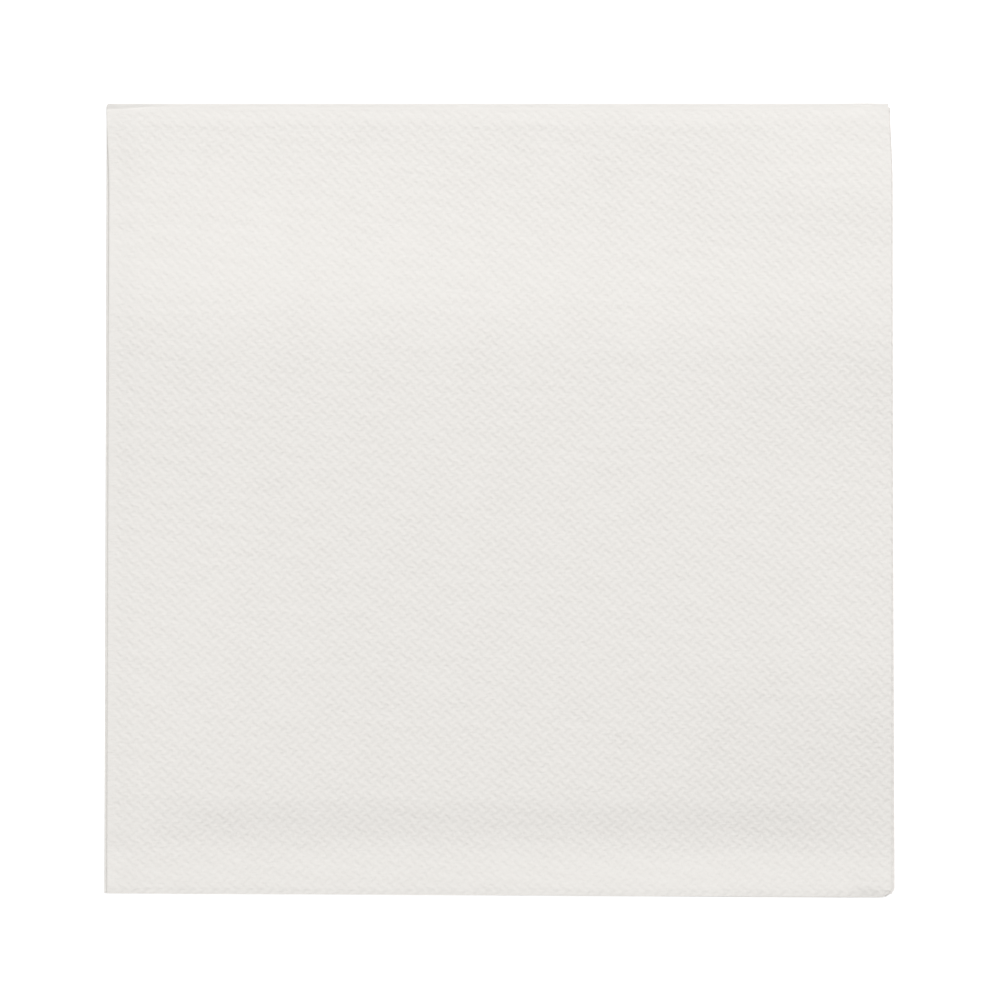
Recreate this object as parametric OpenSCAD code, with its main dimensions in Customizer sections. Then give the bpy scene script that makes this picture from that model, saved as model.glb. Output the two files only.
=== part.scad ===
// Paper napkin, one square two-ply sheet folded twice to a quarter and lying flat.
// Left side: the first fold. Far side: the second fold, one bend nested in the other.
// Right and near sides: the four cut edges of each. Lengths are in millimetres.

/* [Sheet] */
// Size of the flat sheet across the first fold
sheet_w = 393; // [300:1:480]
// Size of the flat sheet across the second fold
sheet_l = 397; // [300:1:480]
// Thickness of the embossed sheet, both plies together
sheet_t = 0.3; // [0.15:0.01:0.4]

/* [Layers] */
// Air between two layers that lie on each other
air_gap = 0.15; // [0.1:0.05:0.8]
// How far the inner layers show past the outer ones at the right side
side_show = 0.4; // [0:0.1:2]
// How much more they show there at the free corner
side_flare = 0.5; // [0:0.1:1]
// How far the near side slants outwards, from the first fold to the free corner
near_slant = 0.9; // [0:0.1:2]
// How far the lower pair of layers shows past the upper pair there
near_show = 0.2; // [0:0.1:2]
// How far the upper pair stands back from the lower pair at the first fold
pair_slip = 0.7; // [0:0.1:1.5]
// Length over which that slip grows, from the second fold
slip_run = 20; // [8:1:40]
// How far the first fold leans outwards, at the near side
fold_lean = 0.6; // [0:0.1:1.5]

/* [Folds] */
// Height of each bend of the first fold, between the middles of its two layers
first_bend_h = 0.6; // [0.5:0.05:1.6]
// Height of the inner bend of the second fold, between the middles of its two layers
second_bend_h = 0.7; // [0.5:0.05:2]
// How far the bends reach outwards, over their half height
bend_reach = 2.2; // [1:0.1:3]
// How square the bends are at their tips, 1 for an ellipse and less for a blunter one
bend_blunt = 0.7; // [0.5:0.05:1]
// Distance from a bend over which its layers settle onto each other
settle = 26; // [12:1:60]
// How far the outer layer is tucked back where the two folds meet
corner_tuck = 0.9; // [0:0.1:1.2]
// Length of that tuck along the second fold
tuck_run = 20; // [8:1:40]

/* [Lie of the top layer] */
// Height of the soft swell over the middle of the bundle
swell_h = 1.5; // [0:0.1:2]
// Distance of its crest from the second fold
swell_in = 58; // [40:1:90]
// Share of its height that is left where the near margin begins
swell_left = 0.6; // [0.3:0.05:0.9]
// Length over which it rises from the left and right sides
swell_side = 30; // [15:1:60]
// Width of the flat margin along the near side
margin_w = 13; // [6:1:25]
// Length over which the swell drops to that margin
margin_drop = 12; // [6:1:30]
// How far the top layer rises across the margin to its cut edge
edge_rise = 0.3; // [0:0.05:0.6]
// Share by which the first fold and the near cut edges are pressed thinner
press = 0.35; // [0:0.05:0.4]
// Width of the pressed strip along the first fold
press_in = 8; // [4:1:20]
// How far the cut edges spread at the free corner
corner_rise = 0.2; // [0:0.05:1]
// Distance from the free corner over which they spread
corner_reach = 60; // [30:5:90]
// How far the tip of the free corner is drawn in from each side
corner_pull = 0.8; // [0:0.1:1]
// Distance from the tip over which it is drawn in
pull_reach = 2.2; // [2.2:0.1:5]

/* [Fineness] */
// Steps across each half of the sheet
half_steps = 20; // [12:1:22]
// Steps along each half of the sheet
long_steps = 21; // [12:1:22]
// Steps round each bend of the first fold
first_steps = 6; // [4:2:8]
// Steps round the bend of the second fold
second_steps = 10; // [6:2:12]

/* [Hidden] */
pitch = sheet_t + air_gap; // between the middles of two layers
stack_h = 3 * pitch; // between the middles of the bottom and the top layer
fold_w = sheet_w / 2;
fold_l = sheet_l / 2;
crowding = 1.5; // above 1, steps are finer near a bend
feel = 0.001; // small step that finds the slope of the surface
tuck_middle = 25; // angle round the second bend where the tuck begins
tuck_blend = 30; // angle over which it grows
tuck_fade = 12; // how quickly it ends past the bend
crest = 0.06; // how round the crest of the swell is, as a share of its height
tip_step = pull_reach / fold_w / crowding; // the last step before a cut edge
table_clear = 10; // room above the table, in heights of the stack
paper = [0.93, 0.92, 0.90];

// Eases from 0 to 1 while s goes from 0 to 1
function ease(s) = let (c = min(max(s, 0), 1)) c * c * (3 - 2 * c);

// A soft hump, 1 high at distance 0 and about a third at distance w
function hump(distance, w) = exp(-pow(distance / w, 2));

// The lower of two values, with a round change from one to the other
function soft_min(a, b, r) = -r * ln(exp(-a / r) + exp(-b / r));

// How far round a bend a point lies, s from -1 to 1: [reach, side], each at most 1
function round_bend(s) = [1 - cos(90 * s), sign(s) * pow(abs(sin(90 * s)), bend_blunt)];

// Height between two layers at a distance from the bend that joins them
function open_h(bend_h, distance) = pitch + (bend_h - pitch) * (1 - ease(distance / settle));

// Lift of the top layer. x runs from the first fold and y from the second one, towards the cut edges
function lift(x, y) =
    let (margin = fold_l - margin_w, fall = (1 - swell_left) * (y - swell_in) / (margin - swell_in))
    swell_h * soft_min(y / swell_in, 1 - fall, crest) * (1 - ease((y - margin + margin_drop) / margin_drop))
        * ease(x / swell_side) * ease((fold_w - x) / swell_side)
    + edge_rise * ease((y - margin) / margin_w) * ease(x / swell_side)
    + corner_rise * hump(norm([fold_w - x, fold_l - y]), corner_reach);

// What is left of the layers' heights and of their thickness where they are pressed
function pressed(x, y) = 1 - press * max(ease(1 - x / press_in), ease(1 - (fold_l - y) / margin_w));

// The first fold, seen along it: [distance from its bend's tip, height, height of the pair of layers].
// a runs from -2 at the inner layer's cut edge, through -1 to 1 round the bend, to 2 at the outer layer's
function first_fold(a) =
    let (reach = bend_reach * first_bend_h / 2, bend = round_bend(a))
    abs(a) < 1
        ? [reach * bend[0], first_bend_h / 2 * (1 - bend[1]), first_bend_h]
        : let (
              run = pow(abs(a) - 1, crowding) * (fold_w - reach + (a < 0 ? side_show : 0)),
              pair_h = open_h(first_bend_h, run)
          )
          [reach + run, a < 0 ? pair_h : 0, pair_h];

// The second fold, seen along it, for a point at height h in a pair of layers pair_h high:
// [distance from the bend's outer tip, height]. b runs from -2 at the lower pair's cut edge, through
// -1 to 1 round the bend, to 2 at the upper pair's
function second_fold(b, h, pair_h) =
    let (
        inner = second_bend_h / 2,
        bend_r = inner + pair_h - h,
        tip = bend_reach * (inner + pair_h),
        bend = round_bend(b)
    )
    abs(b) < 1
        ? [tip - bend_reach * bend_r * (1 - bend[0]), inner + pair_h + bend_r * bend[1]]
        : let (run = pow(abs(b) - 1, crowding) * (fold_l - tip))
          [tip + run, b < 0 ? h : 2 * pair_h + open_h(second_bend_h, run) - h];

// How far a point of the outer layer is tucked back, near the corner where both folds meet
function tuck(x, b, h, pair_h) =
    corner_tuck * (1 - ease(x / tuck_run)) * (1 - h / pair_h)
    * ease((90 * b - tuck_middle) / tuck_blend + 0.5) * (1 - ease((abs(b) - 1) * tuck_fade));

// A point of the sheet's middle surface, once folded
function middle(a, b) =
    let (
        first = first_fold(a),
        second = second_fold(b, first[1], first[2]),
        upper = ease((b + 1) / 2),
        across = first[0],
        back = second[0],
        right = across / fold_w,
        near = back / fold_l,
        pull = corner_pull * ease(1 - norm([fold_w - across, fold_l - back]) / pull_reach),
        show = side_flare * right * near * near * first[1] / first[2],
        slip = pair_slip * upper * ease(back / slip_run),
        x = across + show + slip - fold_lean * near * (1 - right) - pull,
        slant = (near_slant + near_show * (1 - upper)) * right * near,
        y = back + slant + tuck(across, b, first[1], first[2]) - pull
    )
    [x, -y, second[1] * (1 + lift(across, back) / stack_h) * pressed(across, back)];

// The surface's unit normal, which points into the bundle on the outer layers
function normal(a, b) =
    let (n = cross(middle(a + feel, b) - middle(a - feel, b), middle(a, b + feel) - middle(a, b - feel)))
    n / norm(n);

// Half of the sheet's thickness there
function half_t(a, b) =
    let (first = first_fold(a), second = second_fold(b, first[1], first[2]))
    sheet_t / 2 * pressed(first[0], second[0]);

// The steps along one direction, from one cut edge round the bend to the other
function steps(flat, bend) = concat(
    [-2, tip_step - 2],
    [for (i = [flat - 1:-1:1]) -1 - i / flat],
    [for (i = [0:bend]) -1 + 2 * i / bend],
    [for (i = [1:flat - 1]) 1 + i / flat],
    [2 - tip_step, 2]
);

// The two triangles of each cell of a grid of points, rows long, that starts at point first
function cells(first, rows, columns, flip) = [
    for (i = [0:rows - 2], j = [0:columns - 2], half = [0, 1])
        let (
            p = first + i * columns + j,
            q = p + columns,
            corners = half == 0 ? [p, q, q + 1] : [p, q + 1, p + 1]
        )
        flip ? [corners[0], corners[2], corners[1]] : corners
];

// The band of triangles that closes the cut edge between the two faces, along a list of edge points
function cut_edge(edge, depth) = [
    for (i = [0:len(edge) - 2], half = [0, 1])
        half == 0
            ? [edge[i], edge[i + 1], edge[i + 1] + depth]
            : [edge[i], edge[i + 1] + depth, edge[i] + depth]
];

// The folded sheet: both of its faces, half the thickness either side of the middle surface, centred
// on its own box with its lowest point at 0
module folded_sheet() {
    across = steps(half_steps, first_steps);
    along = steps(long_steps, second_steps);
    rows = len(across);
    columns = len(along);
    count = rows * columns;
    places = [for (a = across, b = along) middle(a, b)];
    offsets = [for (a = across, b = along) normal(a, b) * half_t(a, b)];
    face_points = concat(places + offsets, places - offsets);
    low = [for (k = [0:2]) min([for (p = face_points) p[k]])];
    high = [for (k = [0:2]) max([for (p = face_points) p[k]])];
    centre = [(low[0] + high[0]) / 2, (low[1] + high[1]) / 2, low[2]];
    around = concat(
        [for (i = [0:rows - 1]) i * columns],
        [for (j = [1:columns - 1]) (rows - 1) * columns + j],
        [for (i = [rows - 2:-1:0]) i * columns + columns - 1],
        [for (j = [columns - 2:-1:0]) j]
    );
    polyhedron(
        points = [for (p = face_points) p - centre],
        faces = concat(
            cells(0, rows, columns, true),
            cells(count, rows, columns, false),
            cut_edge(around, count)
        )
    );
}

// Everything above the table that the napkin lies on
module above_table() {
    translate([-fold_w, -fold_l, 0]) cube([2 * fold_w, 2 * fold_l, table_clear * stack_h]);
}

// The napkin as it lies: what rests on the table is one flat face
module napkin() {
    color(paper)
        intersection() {
            folded_sheet();
            above_table();
        }
}

napkin();
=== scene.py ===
# Folded paper napkin: the sheet is cut and embossed flat, then folded in the CAD's frame.
# Lengths of the sheet are in millimetres until it is folded, everything else is in metres.
import math

import bmesh
import bpy
import numpy as np
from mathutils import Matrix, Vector


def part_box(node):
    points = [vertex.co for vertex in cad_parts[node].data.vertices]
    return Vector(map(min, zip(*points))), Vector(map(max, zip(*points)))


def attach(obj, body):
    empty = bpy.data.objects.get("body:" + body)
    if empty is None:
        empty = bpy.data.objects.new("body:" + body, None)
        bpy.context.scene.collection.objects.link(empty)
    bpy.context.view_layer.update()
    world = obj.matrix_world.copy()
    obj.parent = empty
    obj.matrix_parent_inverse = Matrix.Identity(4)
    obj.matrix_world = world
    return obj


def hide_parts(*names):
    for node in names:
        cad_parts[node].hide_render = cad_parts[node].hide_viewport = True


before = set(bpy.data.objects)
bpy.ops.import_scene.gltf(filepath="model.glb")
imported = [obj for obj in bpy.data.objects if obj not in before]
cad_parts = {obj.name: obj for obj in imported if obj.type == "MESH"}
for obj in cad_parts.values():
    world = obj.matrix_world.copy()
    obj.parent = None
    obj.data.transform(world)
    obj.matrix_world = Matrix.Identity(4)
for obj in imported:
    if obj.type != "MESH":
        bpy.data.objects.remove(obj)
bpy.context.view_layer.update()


# The folds, with the sizes that the CAD model has
foldPlan = {
    "sheetWidth": 393.0,  # flat, across the first fold
    "sheetLength": 397.0,  # flat, across the second fold
    "thickness": 0.3,
    "airGap": 0.15,
    "sideShow": 0.4,  # inner layers past the outer ones, at the right side
    "sideFlare": 0.5,  # and how much more at the free corner
    "nearSlant": 0.9,  # the near side slants outwards, towards the free corner
    "nearShow": 0.2,  # lower pair past the upper pair there
    "pairSlip": 0.7,  # upper pair back from the lower pair, at the first fold
    "slipRun": 20.0,
    "foldLean": 0.6,  # the first fold leans outwards, at the near side
    "firstBend": 0.6,
    "secondBend": 0.7,
    "bendReach": 2.2,
    "bendBlunt": 0.7,
    "settle": 26.0,
    "cornerTuck": 0.9,
    "tuckRun": 20.0,
    "tuckMiddle": 25.0,  # degrees round the second bend
    "tuckBlend": 30.0,
    "tuckFade": 12.0,
    "crowding": 1.5,
}

# How the top layer lies
topLie = {
    "swellHeight": 1.5,
    "swellIn": 58.0,
    "swellLeft": 0.6,  # share of the height where the near margin begins
    "swellSide": 30.0,
    "crest": 0.06,
    "margin": 13.0,
    "marginDrop": 12.0,
    "edgeRise": 0.3,
    "press": 0.35,  # share by which the first fold and the near cut edges are pressed thinner
    "pressIn": 8.0,
    "cornerRise": 0.2,
    "cornerReach": 60.0,
    "cornerPull": 0.8,  # how far the free corner's tip is drawn in
    "pullReach": 2.2,
}

halfWidth = foldPlan["sheetWidth"] / 2
halfLength = foldPlan["sheetLength"] / 2
layerPitch = foldPlan["thickness"] + foldPlan["airGap"]
stackHeight = 3 * layerPitch


def ease(s):
    c = np.clip(s, 0, 1)
    return c * c * (3 - 2 * c)


def hump(distance, width):
    return np.exp(-((distance / width) ** 2))


def quarterArc(a, b):  # length of a quarter of an ellipse
    return math.pi / 4 * (3 * (a + b) - np.sqrt((3 * a + b) * (a + 3 * b)))


def openHeight(bend, distance):  # between two layers, at a distance from their bend
    return layerPitch + (bend - layerPitch) * (1 - ease(distance / foldPlan["settle"]))


def softMin(a, b, width):
    return -width * np.log(np.exp(-a / width) + np.exp(-b / width))


def lift(x, y):  # x from the first fold and y from the second one
    margin = halfLength - topLie["margin"]
    fall = (1 - topLie["swellLeft"]) * (y - topLie["swellIn"]) / (margin - topLie["swellIn"])
    swell = softMin(y / topLie["swellIn"], 1 - fall, topLie["crest"])
    swell = swell * (1 - ease((y - margin + topLie["marginDrop"]) / topLie["marginDrop"]))
    sides = ease(x / topLie["swellSide"])
    return (
        topLie["swellHeight"] * swell * sides * ease((halfWidth - x) / topLie["swellSide"])
        + topLie["edgeRise"] * ease((y - margin) / topLie["margin"]) * sides
        + topLie["cornerRise"] * hump(np.hypot(halfWidth - x, halfLength - y), topLie["cornerReach"])
    )


def pressed(x, y):  # what is left of the heights and of the thickness
    near = ease(1 - (halfLength - y) / topLie["margin"])
    return 1 - topLie["press"] * np.maximum(ease(1 - x / topLie["pressIn"]), near)


firstReach = foldPlan["bendReach"] * foldPlan["firstBend"] / 2
firstArc = quarterArc(firstReach, foldPlan["firstBend"] / 2)
outerEdge = halfWidth - firstReach + firstArc  # the outer layers' cut edge, on the flat sheet
innerEdge = -(outerEdge + foldPlan["sideShow"])  # the inner layers' cut edge


def roundBend(s):  # how far round a bend, for s from -1 to 1
    turn = s * math.pi / 2
    return 1 - np.cos(turn), np.sign(s) * np.abs(np.sin(turn)) ** foldPlan["bendBlunt"]


def firstFold(u):
    bend = foldPlan["firstBend"]
    reach, side = roundBend(np.clip(u / firstArc, -1, 1))
    run = np.maximum(np.abs(u) - firstArc, 0)
    pairHeight = openHeight(bend, run)
    height = np.where(np.abs(u) < firstArc, bend / 2 * (1 - side), np.where(u < 0, pairHeight, 0.0))
    return firstReach * reach + run, height, pairHeight


def secondFold(v, height, pairHeight):
    inner = foldPlan["secondBend"] / 2
    radius = inner + pairHeight - height
    arc = quarterArc(foldPlan["bendReach"] * radius, radius)
    tip = foldPlan["bendReach"] * (inner + pairHeight)
    reach, side = roundBend(np.clip(v / arc, -1, 1))
    fit = (halfLength - tip) / (halfLength - arc)  # the cut edges stay flush
    run = np.maximum(np.abs(v) - arc, 0) * fit
    back = tip - foldPlan["bendReach"] * radius * (1 - reach) + run
    onTop = 2 * pairHeight + openHeight(foldPlan["secondBend"], run) - height
    inBend = inner + pairHeight + radius * side
    place = np.where(np.abs(v) < arc, v / arc, 1 + (run / (halfLength - tip)) ** (1 / foldPlan["crowding"]))
    place = np.where(v < 0, -np.abs(place), place)
    return back, np.where(np.abs(v) < arc, inBend, np.where(v < 0, height, onTop)), place


def tuck(x, place, height, pairHeight):
    return (
        foldPlan["cornerTuck"] * (1 - ease(x / foldPlan["tuckRun"])) * (1 - height / pairHeight)
        * ease((90 * place - foldPlan["tuckMiddle"]) / foldPlan["tuckBlend"] + 0.5)
        * (1 - ease((np.abs(place) - 1) * foldPlan["tuckFade"]))
    )


def middle(u, v):  # the folded place of a point of the flat sheet's middle surface
    across, height, pairHeight = firstFold(u)
    back, z, place = secondFold(v, height, pairHeight)
    upper = ease((np.clip(place, -1, 1) + 1) / 2)
    right, far = across / halfWidth, back / halfLength
    tip = np.hypot(halfWidth - across, halfLength - back)
    pull = topLie["cornerPull"] * ease(1 - tip / topLie["pullReach"])
    show = foldPlan["sideFlare"] * right * far * far * height / pairHeight
    slip = foldPlan["pairSlip"] * upper * ease(back / foldPlan["slipRun"])
    x = across + show + slip - foldPlan["foldLean"] * far * (1 - right) - pull
    slant = (foldPlan["nearSlant"] + foldPlan["nearShow"] * (1 - upper)) * right * far
    y = back + slant + tuck(across, place, height, pairHeight) - pull
    z = z * (1 + lift(across, back) / stackHeight) * pressed(across, back)
    return np.stack([x, -y, z], axis=1)


def folded(u, v, proud):  # the same for a point that stands proud of the middle surface
    step = 0.005
    alongU = middle(u + step, v) - middle(u - step, v)
    alongV = middle(u, v + step) - middle(u, v - step)
    normal = np.cross(alongV, alongU)  # out of the bundle on the outer layers
    normal /= np.linalg.norm(normal, axis=1)[:, None]
    across, height, pairHeight = firstFold(u)
    back = secondFold(v, height, pairHeight)[0]
    return middle(u, v) + normal * (proud * pressed(across, back))[:, None]


# The embossing, a plain basket weave of short sunk dashes that lean to the left and right in turn
embossing = {
    "pitchX": 2.850,  # between like dashes, across the first fold
    "pitchY": 2.890,
    "depth": 0.072,  # of the dashes below the sheet's mean level
    "shadedDepth": 0.069,  # the same for the part that only the material shows
    "proud": 0.73,  # how far the paper between them stands above it, as a share of the depth
    "egg": 0.862,  # shares of the depth: of the row of pits and peaks
    "shadedEgg": 1.05,
    "lean": 0.56,  # of the dashes' leaning
    "flat": 0.09,  # of the flattening of their floors
    "unevenness": 0.2,  # from dash to dash
    "seed": 11,
    "mostDashes": 320,  # at least as many half pitches as the sheet is wide or long
    "perPitch": 4,  # points of the mesh to a pitch
    "shaped": 0.54,  # share of the relief's shading that the mesh gives
    "clearU": 1.3,  # the mesh has the pattern from here, past the first bend
    "clearV": 3.6,  # and past the second
    "stripGap": 0.35,  # plain strip between the pattern and the bends
    "fade": 1.6,
    "ironedTo": 1.0,  # the folds have ironed the weave's shading, in full up to here
    "ironedU": 2.0,  # and less and less over this far, past the first
    "ironedV": 3.2,  # and past the second
    "ironedLeft": 0.35,  # what is left of it on the first
}


def relief(u, v):  # of the embossing, from -1 on a dash's floor
    x, y = 2 * math.pi * u / embossing["pitchX"], 2 * math.pi * v / embossing["pitchY"]
    chance = np.random.default_rng(embossing["seed"])
    uneven = chance.uniform(-1, 1, (embossing["mostDashes"],) * 2) * embossing["unevenness"]
    row, column = np.round(x / math.pi).astype(int), np.round(y / math.pi).astype(int)
    return (1 + uneven[row, column]) * -(
        embossing["egg"] * np.cos(x) * np.cos(y)
        + embossing["lean"] * np.sin(x) * np.sin(y) * (np.cos(x) + np.cos(y))
        + embossing["flat"] * np.cos(2 * x) * np.cos(2 * y)
    )


def startAlone():
    if bpy.context.object and bpy.context.object.mode != "OBJECT":
        bpy.ops.object.mode_set(mode="OBJECT")
    bpy.ops.object.select_all(action="DESELECT")


def readPoints(mesh):
    points = np.empty(len(mesh.vertices) * 3)
    mesh.vertices.foreach_get("co", points)
    return points.reshape(-1, 3)


# The plain parts of the sheet, coarse where it lies flat and fine round the bends
plainSheet = {
    "flatSteps": 24,
    "longSteps": 26,
    "firstSteps": 12,
    "secondSteps": 26,
    "crowding": 1.4,
    "edgeRows": (0.7, 1.4, 2.2),  # more rows, by the cut edges
    "plyGroove": 0.06,
    "smoothAngle": 50,  # degrees
}
tiny = 1e-3  # places closer than this are the same


def stations(low, bendLow, bendHigh, high, flatSteps, bendSteps):
    crowd = [(k / flatSteps) ** plainSheet["crowding"] for k in range(1, flatSteps + 1)]
    before = [bendLow + (low - bendLow) * c for c in reversed(crowd)]
    bend = [bendLow + (bendHigh - bendLow) * k / bendSteps for k in range(bendSteps + 1)]
    return np.array(before + bend + [bendHigh + (high - bendHigh) * c for c in crowd])


def patternStations(low, high, pitch):  # between the middles and the rims of the dashes
    part = embossing["perPitch"]
    first, last = math.ceil(low / pitch * part - 0.5), math.floor(high / pitch * part - 0.5)
    return [low] + [(k + 0.5) / part * pitch for k in range(first + 1, last)] + [high]


def plainGrid(name, across, along, z):
    startAlone()
    bpy.ops.mesh.primitive_grid_add(x_subdivisions=len(across) - 1, y_subdivisions=len(along) - 1, size=2)
    grid = bpy.context.object
    grid.name = name
    for vertex in grid.data.vertices:
        i = round((vertex.co.x + 1) / 2 * (len(across) - 1))
        j = round((vertex.co.y + 1) / 2 * (len(along) - 1))
        vertex.co = (across[i], along[j], z)
    return grid


def zipRows(bm, rowA, rowB):  # closes the gap between two rows of points with triangles
    i = j = 0
    while i < len(rowA) - 1 or j < len(rowB) - 1:
        takeA = j == len(rowB) - 1
        if not takeA and i < len(rowA) - 1:
            takeA = (rowA[i + 1].co - rowB[j].co).length <= (rowA[i].co - rowB[j + 1].co).length
        if takeA:
            bm.faces.new((rowA[i], rowA[i + 1], rowB[j]))
            i += 1
        else:
            bm.faces.new((rowA[i], rowB[j + 1], rowB[j]))
            j += 1


def near(a, b):
    return abs(a - b) < tiny


def onCutEdge(co):
    return near(co.x, innerEdge) or near(co.x, outerEdge) or near(abs(co.y), halfLength)


def roundSheet(co):  # how far round the cut edge a point lies, from the inner layer's near corner
    width, length = outerEdge - innerEdge, 2 * halfLength
    if near(co.y, -halfLength):
        return co.x - innerEdge
    if near(co.x, outerEdge):
        return width + co.y + halfLength
    if near(co.y, halfLength):
        return width + length + outerEdge - co.x
    return 2 * width + length + halfLength - co.y


def cornerPath(verts, sideU, sideV):  # along the panel's side by the first fold, then by the second
    side = [v for v in verts if near(v.co.x, sideU) and v.co.y > sideV - tiny]
    end = [v for v in verts if near(v.co.y, sideV) and v.co.x > sideU + tiny]
    return sorted(side, key=lambda v: -v.co.y) + sorted(end, key=lambda v: v.co.x)


def addPart(bm, part):  # takes a part's mesh over and deletes the part
    first = len(bm.verts)
    bm.from_mesh(part.data)
    bm.verts.ensure_lookup_table()
    bpy.data.objects.remove(part)
    return [bm.verts[k] for k in range(first, len(bm.verts))]


def flatSheet():
    # All of the sheet as it is before folding: a closed slab, embossed where its top layer will show
    half = foldPlan["thickness"] / 2
    edgeU = embossing["clearU"] - embossing["stripGap"]
    edgeV = embossing["clearV"] - embossing["stripGap"]
    panelAcross = patternStations(embossing["clearU"], outerEdge, embossing["pitchX"])
    panelAlong = patternStations(embossing["clearV"], halfLength, embossing["pitchY"])
    panel = plainGrid("topPanel", panelAcross, panelAlong, half)
    print("panel for the embossing", len(panel.data.polygons), "faces")
    flatSteps, longSteps = plainSheet["flatSteps"], plainSheet["longSteps"]
    across = stations(innerEdge, -edgeU, edgeU, outerEdge, flatSteps, plainSheet["firstSteps"])
    along = stations(-halfLength, -edgeV, edgeV, halfLength, longSteps, plainSheet["secondSteps"])
    extra = np.array(plainSheet["edgeRows"])
    across = np.sort(np.concatenate([across, innerEdge + extra, outerEdge - extra]))
    along = np.sort(np.concatenate([along, extra - halfLength, halfLength - extra]))
    outside = plainGrid("outside", across, along, half)
    inside = plainGrid("inside", across, along, -half)
    bm = bmesh.new()
    outsideVerts = addPart(bm, outside)
    centres = [(face, face.calc_center_median()) for face in bm.faces]
    covered = [face for face, centre in centres if centre.x > edgeU and centre.y > edgeV]
    panelVerts = addPart(bm, panel)
    insideVerts = addPart(bm, inside)
    bmesh.ops.delete(bm, geom=covered, context="FACES")
    outsideVerts = [v for v in outsideVerts if v.is_valid]
    border = [v for v in panelVerts if v.is_boundary]
    hole = [v for v in outsideVerts if v.is_boundary]
    zipRows(bm, cornerPath(border, embossing["clearU"], embossing["clearV"]), cornerPath(hole, edgeU, edgeV))
    outerRim = [v for v in outsideVerts + panelVerts if onCutEdge(v.co)]
    outerLoop = sorted(outerRim, key=lambda v: roundSheet(v.co))
    innerLoop = sorted((v for v in insideVerts if onCutEdge(v.co)), key=lambda v: roundSheet(v.co))
    groove = plainSheet["plyGroove"]
    plyLoop = []
    for vertex in innerLoop:  # the two plies part a little along the cut edge
        x = min(max(vertex.co.x, innerEdge + groove), outerEdge - groove)
        y = min(max(vertex.co.y, groove - halfLength), halfLength - groove)
        plyLoop.append(bm.verts.new((x, y, 0)))
    zipRows(bm, outerLoop + outerLoop[:1], plyLoop + plyLoop[:1])
    zipRows(bm, plyLoop + plyLoop[:1], innerLoop + innerLoop[:1])
    bmesh.ops.recalc_face_normals(bm, faces=bm.faces)
    print("open or doubled edges", sum(len(e.link_faces) != 2 for e in bm.edges), "faces", len(bm.faces))
    mesh = bpy.data.meshes.new("napkinSheet")
    bm.to_mesh(mesh)
    bm.free()
    return mesh


# Where the map OFBake has the sheet's outer side and, above it, the hidden inner one
bakeSheet = {
    "margin": 0.01,
    "width": 0.98,
    "shownHeight": 0.74,
    "hiddenFrom": 0.77,
    "hiddenHeight": 0.22,
}


def keepFlat(mesh, flat, masks):  # what the materials and the map OFBake need to know of the flat sheet
    loops = np.empty(len(mesh.loops), dtype=np.int32)
    mesh.loops.foreach_get("vertex_index", loops)
    sheetMap = mesh.uv_layers.new(name="flatSheet")
    sheetMap.uv.foreach_set("vector", (flat[loops, :2] / 1000).astype(np.float32).ravel())
    share = (flat[loops, :2] - (innerEdge, -halfLength)) / (outerEdge - innerEdge, 2 * halfLength)
    sizes = np.array([len(face.vertices) for face in mesh.polygons])
    levels = np.add.reduceat(flat[loops, 2], np.concatenate([[0], np.cumsum(sizes)[:-1]]))
    hidden = np.repeat(levels < 0, sizes)
    start = np.where(hidden, bakeSheet["hiddenFrom"], bakeSheet["margin"])
    height = np.where(hidden, bakeSheet["hiddenHeight"], bakeSheet["shownHeight"])
    bakeX = bakeSheet["margin"] + bakeSheet["width"] * share[:, 0]
    bakePlace = np.stack([bakeX, start + share[:, 1] * height], axis=1)
    bakeMap = mesh.uv_layers.new(name="OFBake")
    bakeMap.uv.foreach_set("vector", bakePlace.astype(np.float32).ravel())
    for name, values in masks.items():
        kept = mesh.attributes.new(name, "FLOAT", "POINT")
        kept.data.foreach_set("value", values.astype(np.float32))


def foldSheet(mesh):
    flat = readPoints(mesh)
    u, v, z = flat.T
    onPanel = (z > tiny) & (u > embossing["clearU"] - tiny) & (v > embossing["clearV"] - tiny)
    kept = onPanel * ease(np.minimum(u - embossing["clearU"], v - embossing["clearV"]) / embossing["fade"])
    sunk = (embossing["proud"] - relief(u, v)) * kept
    pastFirst = ease((np.abs(u) - embossing["ironedTo"]) / embossing["ironedU"])
    pastSecond = ease((np.abs(v) - embossing["ironedTo"]) / embossing["ironedV"])
    masks = {
        # how deep each dash is sunk; the material uses it to paint shade into the pits
        "pressed": sunk / (1 + embossing["proud"]),
        "raised": pastSecond * (embossing["ironedLeft"] + (1 - embossing["ironedLeft"]) * pastFirst),
        "shaped": kept * embossing["shaped"],
    }
    keepFlat(mesh, flat, masks)
    place = folded(u, v, z - sunk * embossing["depth"]) / 1000
    low, high = place.min(0), place.max(0)
    boxLow, boxHigh = np.array(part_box("napkin"))
    place += (boxLow + boxHigh - low - high) / 2 * (1, 1, 0) + (boxLow - low) * (0, 0, 1)
    mesh.vertices.foreach_set("co", place.ravel())
    mesh.flip_normals()  # folding turned the slab inside out
    mesh.update()
    print("folded size in mm", (high - low) * 1000, "CAD size", (boxHigh - boxLow) * 1000)


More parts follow.
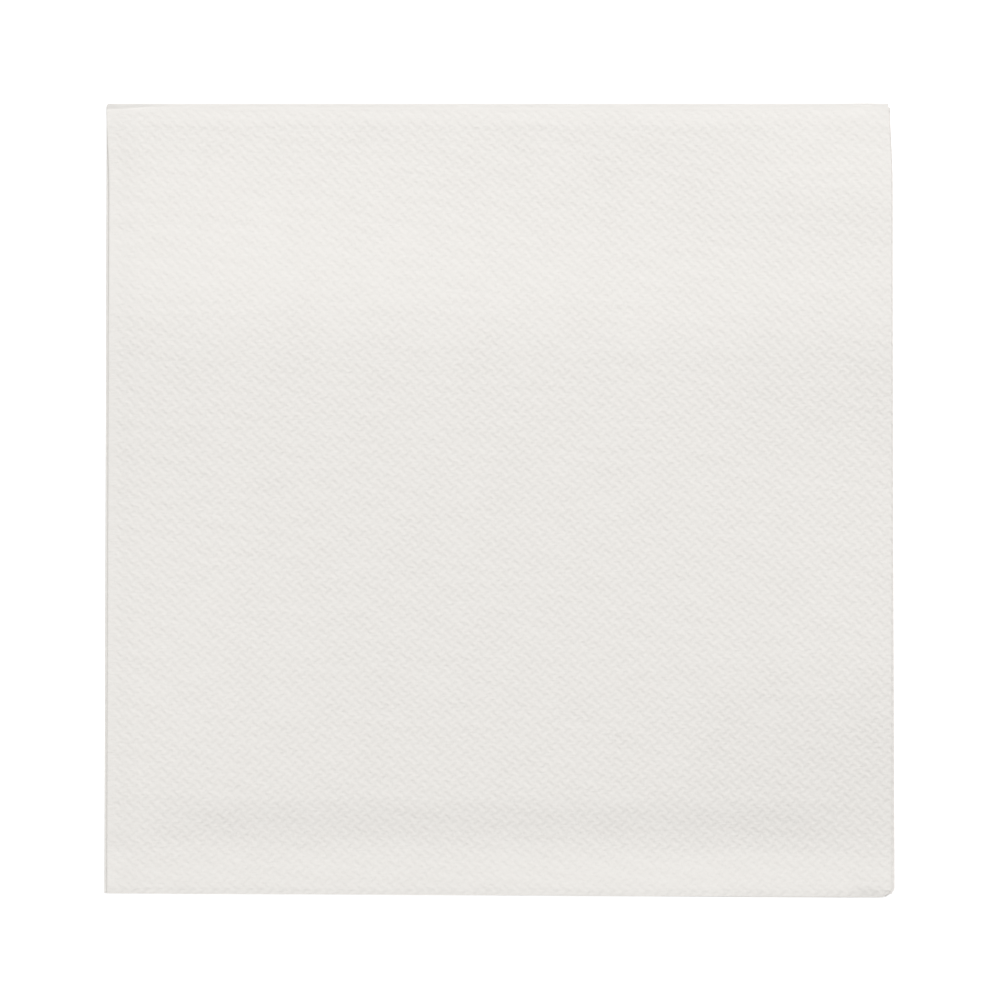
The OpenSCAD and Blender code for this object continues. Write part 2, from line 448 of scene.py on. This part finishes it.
# The paper's finish, with its lengths in metres and its angles in degrees
paperLook = {
    "colour": (0.886, 0.864, 0.831, 1),
    # darker tone, used for the clouds' random tone and for painted shade on the floors of the dashes
    "cloudAndPitShadeColour": (0.866, 0.843, 0.809, 1),
    "roughness": 0.9,
    "specular": 0.25,
    "sheen": 0.08,
    "sheenRoughness": 0.5,
    "fibreAngles": (12, 71, 139),
    "fibreWidth": 0.00016,
    "fibreLength": 0.0014,
    "fibreDepth": 0.000095,
    "crepeAngle": 3,
    "crepeWidth": 0.0006,
    "crepeStretch": 5,  # its length, over its width
    "crepeDepth": 0.000075,
    "cloudAngle": -8,
    "cloudWidth": 0.002,
    "cloudLength": 0.012,
    "cloudDepth": 0.00007,
    "pitShadeTint": 0.1,  # painted shade: share of the darker colour on the floor of a dash, where shade falls in the pits
    "cloudTint": (2, -0.7),  # times and plus, from the clouds to the share of the darker colour
    "cloudWeave": (1.2, 0.4),  # and from them to the strength of the weave
}

# Soft pleats and dents, in millimetres. The paper drops away from the second fold between From and Low and
# rises from there to To. Length is how far that dies away to both sides of Middle
endless = 2000  # a Length that reaches past the whole sheet
pleatSizes = ("Middle", "Length", "From", "Low", "To", "Drop", "Rise")
softPleats = {
    "foldedCorner": (0, 22, 0.2, 1.1, 1.6, 0.32, 0.12),
    "cutCorner": (190, 7, 0.1, 0.8, 4, 0.28, 0.25),
    "rim": (98, endless, 0, 1.7, 6, 0.36, 0.4),
    "crest": (98, endless, 30, 64, 65, -1.6, 0),
    "leftSwell": (0, 190, 2, 54, 55, -4.8, 0),
    "margin": (98, endless, 172, 186, 200, 0, 1.4),
    "dullCorner": (197, 90, 138, 197, 198, 4, 0),
    "marginRight": (142, 60, 185, 186, 200, 0, 0.8),
    "dullSide": (197, 60, 45, 95, 96, 2.2, 0),
    "brightCorner": (197, 60, 1, 28, 29, -2.4, 0),
    "leftRise": (0, 70, 90, 184, 185, -3.6, 0),
    "nearEdge": (98, endless, 196.3, 198.8, 199, 0.17, 0),
    "freeCorner": (191, 8, 195, 199.5, 200, 0.6, 0),
}


def makeNode(tree, kind, **values):
    node = tree.nodes.new(kind)
    for name, value in values.items():
        setattr(node, name, value)
    return node


def feed(tree, socket, value):  # a link where the value is a socket, or else the value itself
    if isinstance(value, bpy.types.NodeSocket):
        tree.links.new(value, socket)
    else:
        socket.default_value = value


def setInputs(node, values):
    for title, value in values.items():
        node.inputs[title].default_value = value


def calc(tree, operation, *values):
    node = makeNode(tree, "ShaderNodeMath", operation=operation)
    for socket, value in zip(node.inputs, values):
        feed(tree, socket, value)
    return node.outputs[0]


def startGroup(name, inputs, outputs):
    group = bpy.data.node_groups.new(name, "ShaderNodeTree")
    for title in inputs:
        kind = "NodeSocketVector" if title == "Place" else "NodeSocketFloat"
        group.interface.new_socket(title, in_out="INPUT", socket_type=kind)
    for title in outputs:
        group.interface.new_socket(title, in_out="OUTPUT", socket_type="NodeSocketFloat")
    return group, makeNode(group, "NodeGroupInput").outputs, makeNode(group, "NodeGroupOutput").inputs


def grain(tree, place, degrees, width, length):  # noise that is drawn out along one direction
    turned = makeNode(tree, "ShaderNodeVectorRotate", rotation_type="Z_AXIS")
    turned.inputs["Angle"].default_value = math.radians(degrees)
    tree.links.new(place, turned.inputs["Vector"])
    split = makeNode(tree, "ShaderNodeSeparateXYZ")
    tree.links.new(turned.outputs[0], split.inputs[0])
    drawn = makeNode(tree, "ShaderNodeCombineXYZ")
    tree.links.new(calc(tree, "DIVIDE", split.outputs[0], length), drawn.inputs[0])
    tree.links.new(calc(tree, "DIVIDE", split.outputs[1], width), drawn.inputs[1])
    noise = makeNode(tree, "ShaderNodeTexNoise", noise_dimensions="2D")
    noise.inputs["Scale"].default_value = 1
    noise.inputs["Detail"].default_value = 2
    tree.links.new(drawn.outputs[0], noise.inputs["Vector"])
    return noise.outputs["Fac"]


def fibreGroup():
    # Short fibres that lie in three directions, the crepe, and the drawn-out clouds of thin tissue
    inputs = ["Place", "Fibre Width", "Fibre Length", "Crepe Width", "Cloud Width", "Cloud Length"]
    group, given, result = startGroup("tissueFibres", inputs, ["Fibres", "Crepe", "Clouds"])
    place, width, length = given["Place"], given["Fibre Width"], given["Fibre Length"]
    most = grain(group, place, paperLook["fibreAngles"][0], width, length)
    for degrees in paperLook["fibreAngles"][1:]:
        most = calc(group, "MAXIMUM", most, grain(group, place, degrees, width, length))
    group.links.new(most, result["Fibres"])
    crepeLength = calc(group, "MULTIPLY", given["Crepe Width"], paperLook["crepeStretch"])
    crepe = grain(group, place, paperLook["crepeAngle"], given["Crepe Width"], crepeLength)
    group.links.new(crepe, result["Crepe"])
    clouds = grain(group, place, paperLook["cloudAngle"], given["Cloud Width"], given["Cloud Length"])
    group.links.new(clouds, result["Clouds"])
    return group


def wave(tree, kind, place, pitch):  # a cosine or sine with that pitch
    return calc(tree, kind, calc(tree, "DIVIDE", calc(tree, "MULTIPLY", place, 2 * math.pi), pitch))


def basketGroup():
    # Height of the basket weave, -1 on the floor of a dash, with less of the pits where the mesh has them
    inputs = ["Place", "Pitch X", "Pitch Y", "Egg", "Lean", "Flat", "Shaped"]
    group, given, result = startGroup("basketWeave", inputs, ["Height"])
    split = makeNode(group, "ShaderNodeSeparateXYZ")
    group.links.new(given["Place"], split.inputs[0])
    cosX = wave(group, "COSINE", split.outputs[0], given["Pitch X"])
    cosY = wave(group, "COSINE", split.outputs[1], given["Pitch Y"])
    sinX = wave(group, "SINE", split.outputs[0], given["Pitch X"])
    sinY = wave(group, "SINE", split.outputs[1], given["Pitch Y"])
    doubleX = calc(group, "MULTIPLY_ADD", calc(group, "MULTIPLY", cosX, cosX), 2, -1)
    doubleY = calc(group, "MULTIPLY_ADD", calc(group, "MULTIPLY", cosY, cosY), 2, -1)
    eggShare = calc(group, "MULTIPLY", given["Egg"], calc(group, "SUBTRACT", 1, given["Shaped"]))
    egg = calc(group, "MULTIPLY", calc(group, "MULTIPLY", cosX, cosY), eggShare)
    bothSines = calc(group, "MULTIPLY", calc(group, "MULTIPLY", sinX, sinY), given["Lean"])
    lean = calc(group, "MULTIPLY_ADD", bothSines, calc(group, "ADD", cosX, cosY), egg)
    floors = calc(group, "MULTIPLY", calc(group, "MULTIPLY", doubleX, doubleY), given["Flat"])
    group.links.new(calc(group, "MULTIPLY", calc(group, "ADD", lean, floors), -1), result["Height"])
    return group


def pleatGroup():
    group, given, result = startGroup("softPleat", ["Place", *pleatSizes], ["Height"])
    split = makeNode(group, "ShaderNodeSeparateXYZ")
    group.links.new(given["Place"], split.inputs[0])
    walls = []
    for start, end in (("From", "Low"), ("Low", "To")):
        wall = makeNode(group, "ShaderNodeMapRange", interpolation_type="SMOOTHSTEP")
        group.links.new(split.outputs[1], wall.inputs["Value"])
        group.links.new(given[start], wall.inputs["From Min"])
        group.links.new(given[end], wall.inputs["From Max"])
        walls.append(wall.outputs["Result"])
    drop = calc(group, "MULTIPLY", walls[0], given["Drop"])
    rise = calc(group, "MULTIPLY", walls[1], given["Rise"])
    fade = makeNode(group, "ShaderNodeMapRange", interpolation_type="SMOOTHSTEP")
    aside = calc(group, "ABSOLUTE", calc(group, "SUBTRACT", split.outputs[0], given["Middle"]))
    group.links.new(aside, fade.inputs["Value"])
    group.links.new(given["Length"], fade.inputs["From Max"])
    fade.inputs["To Min"].default_value = 1
    fade.inputs["To Max"].default_value = 0
    whole = calc(group, "SUBTRACT", rise, drop)
    group.links.new(calc(group, "MULTIPLY", whole, fade.outputs["Result"]), result["Height"])
    return group


def tissueMaterial():
    material = bpy.data.materials.new("embossedTissue")
    material.use_nodes = True
    tree = material.node_tree
    shader = tree.nodes["Principled BSDF"]
    setInputs(shader, {
        "Roughness": paperLook["roughness"],
        "Specular IOR Level": paperLook["specular"],
        "Sheen Weight": paperLook["sheen"],
        "Sheen Roughness": paperLook["sheenRoughness"],
    })
    sheetMap = makeNode(tree, "ShaderNodeUVMap", uv_map="flatSheet")
    fibres = makeNode(tree, "ShaderNodeGroup", node_tree=fibreGroup())
    setInputs(fibres, {
        "Fibre Width": paperLook["fibreWidth"],
        "Fibre Length": paperLook["fibreLength"],
        "Crepe Width": paperLook["crepeWidth"],
        "Cloud Width": paperLook["cloudWidth"],
        "Cloud Length": paperLook["cloudLength"],
    })
    tree.links.new(sheetMap.outputs["UV"], fibres.inputs["Place"])
    basket = makeNode(tree, "ShaderNodeGroup", node_tree=basketGroup())
    setInputs(basket, {
        "Pitch X": embossing["pitchX"] / 1000,
        "Pitch Y": embossing["pitchY"] / 1000,
        "Egg": embossing["shadedEgg"],
        "Lean": embossing["lean"],
        "Flat": embossing["flat"],
    })
    tree.links.new(sheetMap.outputs["UV"], basket.inputs["Place"])
    # depth of the dashes, which paints shade on their floors
    pressed = makeNode(tree, "ShaderNodeAttribute", attribute_name="pressed")
    raised = makeNode(tree, "ShaderNodeAttribute", attribute_name="raised")
    shaped = makeNode(tree, "ShaderNodeAttribute", attribute_name="shaped")
    tree.links.new(shaped.outputs["Fac"], basket.inputs["Shaped"])
    uneven = calc(tree, "MULTIPLY_ADD", fibres.outputs["Clouds"], *paperLook["cloudWeave"])
    shaded = calc(tree, "MULTIPLY", raised.outputs["Fac"], basket.outputs["Height"])
    shaded = calc(tree, "MULTIPLY", shaded, uneven)
    cloud = calc(tree, "MULTIPLY_ADD", fibres.outputs["Clouds"], *paperLook["cloudTint"])
    # share of the darker colour: painted shade on the floors of the dashes, plus the clouds' random tone
    shade = makeNode(tree, "ShaderNodeMath", operation="MULTIPLY_ADD", use_clamp=True)
    tree.links.new(pressed.outputs["Fac"], shade.inputs[0])
    shade.inputs[1].default_value = paperLook["pitShadeTint"]
    tree.links.new(cloud, shade.inputs[2])
    mix = makeNode(tree, "ShaderNodeMix", data_type="RGBA")
    tree.links.new(shade.outputs[0], mix.inputs["Factor"])
    colours = [socket for socket in mix.inputs if socket.type == "RGBA"]
    colours[0].default_value = paperLook["colour"]
    colours[1].default_value = paperLook["cloudAndPitShadeColour"]
    mixed = [socket for socket in mix.outputs if socket.type == "RGBA"][0]
    tree.links.new(mixed, shader.inputs["Base Color"])
    height = calc(tree, "MULTIPLY", shaded, embossing["shadedDepth"] / 1000)
    height = calc(tree, "MULTIPLY_ADD", fibres.outputs["Fibres"], paperLook["fibreDepth"], height)
    height = calc(tree, "MULTIPLY_ADD", fibres.outputs["Crepe"], paperLook["crepeDepth"], height)
    height = calc(tree, "MULTIPLY_ADD", fibres.outputs["Clouds"], paperLook["cloudDepth"], height)
    pleatTree = pleatGroup()
    for name, sizes in softPleats.items():
        pleat = makeNode(tree, "ShaderNodeGroup", node_tree=pleatTree, label=name)
        tree.links.new(sheetMap.outputs["UV"], pleat.inputs["Place"])
        setInputs(pleat, {title: size / 1000 for title, size in zip(pleatSizes, sizes)})
        height = calc(tree, "ADD", height, pleat.outputs["Height"])
    bump = makeNode(tree, "ShaderNodeBump")
    bump.inputs["Distance"].default_value = 1
    tree.links.new(height, bump.inputs["Height"])
    tree.links.new(bump.outputs["Normal"], shader.inputs["Normal"])
    return material


def napkinPiece():
    mesh = flatSheet()
    foldSheet(mesh)
    napkin = bpy.data.objects.new("napkinSheet", mesh)
    bpy.context.scene.collection.objects.link(napkin)
    startAlone()
    napkin.select_set(True)
    bpy.context.view_layer.objects.active = napkin
    bpy.ops.object.shade_smooth_by_angle(angle=math.radians(plainSheet["smoothAngle"]))
    mesh.materials.append(tissueMaterial())
    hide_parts("napkin")
    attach(napkin, "root")
    print("napkin made", len(mesh.polygons), "faces")


# The photograph's view, from straight above
cameraView = {
    "lens": 135,
    "sensor": 36,
    "frameWidth": 0.2511,  # what the picture's width covers at the napkin's top
    "aimX": 0.00017,
    "aimY": 0.00012,
    "topZ": 0.002,
    "clipStart": 0.01,
}


def makeCamera():
    data = bpy.data.cameras.new("above")
    data.lens = cameraView["lens"]
    data.sensor_width = cameraView["sensor"]
    data.sensor_fit = "HORIZONTAL"
    data.clip_start = cameraView["clipStart"]
    camera = bpy.data.objects.new("above", data)
    distance = cameraView["frameWidth"] * cameraView["lens"] / cameraView["sensor"]
    camera.location = (cameraView["aimX"], cameraView["aimY"], cameraView["topZ"] + distance)
    bpy.context.scene.collection.objects.link(camera)
    bpy.context.scene.camera = camera


# Plain soft light, most of it from the side of the second fold
studio = {
    "key": {"power": 46, "size": 1.5, "place": (0.7, 2.07, 2.1)},
    "fill": {"power": 4.8, "size": 1.2, "place": (-2.4, -0.7, 0.95)},
    "worldLevel": 0.608,
    "floorSize": 3.0,
    "floorDrop": 0.0001,
    "floorColour": (0.9, 0.9, 0.9, 1),
    "floorLift": 0.55,
}


def makeLamp(name):
    lamp = bpy.data.lights.new(name, "AREA")
    lamp.shape = "DISK"
    lamp.size = studio[name]["size"]
    lamp.energy = studio[name]["power"]
    place = Vector(studio[name]["place"])
    holder = bpy.data.objects.new(name, lamp)
    holder.location = place
    holder.rotation_euler = (-place).to_track_quat("-Z", "Y").to_euler()
    bpy.context.scene.collection.objects.link(holder)


def makeWorld():
    world = bpy.data.worlds.new("studio")
    bpy.context.scene.world = world
    world.use_nodes = True
    tree = world.node_tree
    background = tree.nodes["Background"]
    background.inputs["Color"].default_value = (1, 1, 1, 1)
    path = makeNode(tree, "ShaderNodeLightPath")
    seen = makeNode(tree, "ShaderNodeMath", operation="MAXIMUM")
    seenToo = makeNode(tree, "ShaderNodeMath", operation="MAXIMUM")
    tree.links.new(path.outputs["Is Camera Ray"], seen.inputs[0])
    tree.links.new(path.outputs["Is Glossy Ray"], seen.inputs[1])
    tree.links.new(seen.outputs[0], seenToo.inputs[0])
    tree.links.new(path.outputs["Is Transmission Ray"], seenToo.inputs[1])
    level = makeNode(tree, "ShaderNodeMapRange")
    level.inputs["To Min"].default_value = studio["worldLevel"]
    level.inputs["To Max"].default_value = 1
    tree.links.new(seenToo.outputs[0], level.inputs["Value"])
    tree.links.new(level.outputs["Result"], background.inputs["Strength"])


def makeFloor():
    startAlone()
    bpy.ops.mesh.primitive_plane_add(size=studio["floorSize"], location=(0, 0, -studio["floorDrop"]))
    floor = bpy.context.object
    floor.name = "floor"
    bpy.ops.object.transform_apply(location=True, rotation=False, scale=False)
    material = bpy.data.materials.new("paleFloor")
    material.use_nodes = True
    tree = material.node_tree
    tree.nodes.remove(tree.nodes["Principled BSDF"])
    matte = makeNode(tree, "ShaderNodeBsdfDiffuse")
    matte.inputs["Color"].default_value = studio["floorColour"]
    glow = makeNode(tree, "ShaderNodeEmission")
    glow.inputs["Strength"].default_value = studio["floorLift"]
    both = makeNode(tree, "ShaderNodeAddShader")
    path = makeNode(tree, "ShaderNodeLightPath")
    seen = makeNode(tree, "ShaderNodeMath", operation="MAXIMUM")
    pick = makeNode(tree, "ShaderNodeMixShader")
    tree.links.new(path.outputs["Is Camera Ray"], seen.inputs[0])
    tree.links.new(path.outputs["Is Glossy Ray"], seen.inputs[1])
    tree.links.new(matte.outputs[0], both.inputs[0])
    tree.links.new(glow.outputs[0], both.inputs[1])
    tree.links.new(seen.outputs[0], pick.inputs["Fac"])
    tree.links.new(matte.outputs[0], pick.inputs[1])
    tree.links.new(both.outputs[0], pick.inputs[2])
    tree.links.new(pick.outputs[0], tree.nodes["Material Output"].inputs["Surface"])
    floor.data.materials.append(material)


makeCamera()
napkinPiece()
makeLamp("key")
makeLamp("fill")
makeWorld()
makeFloor()
bpy.context.scene.view_settings.view_transform = "Standard"
print("camera, light and floor made")
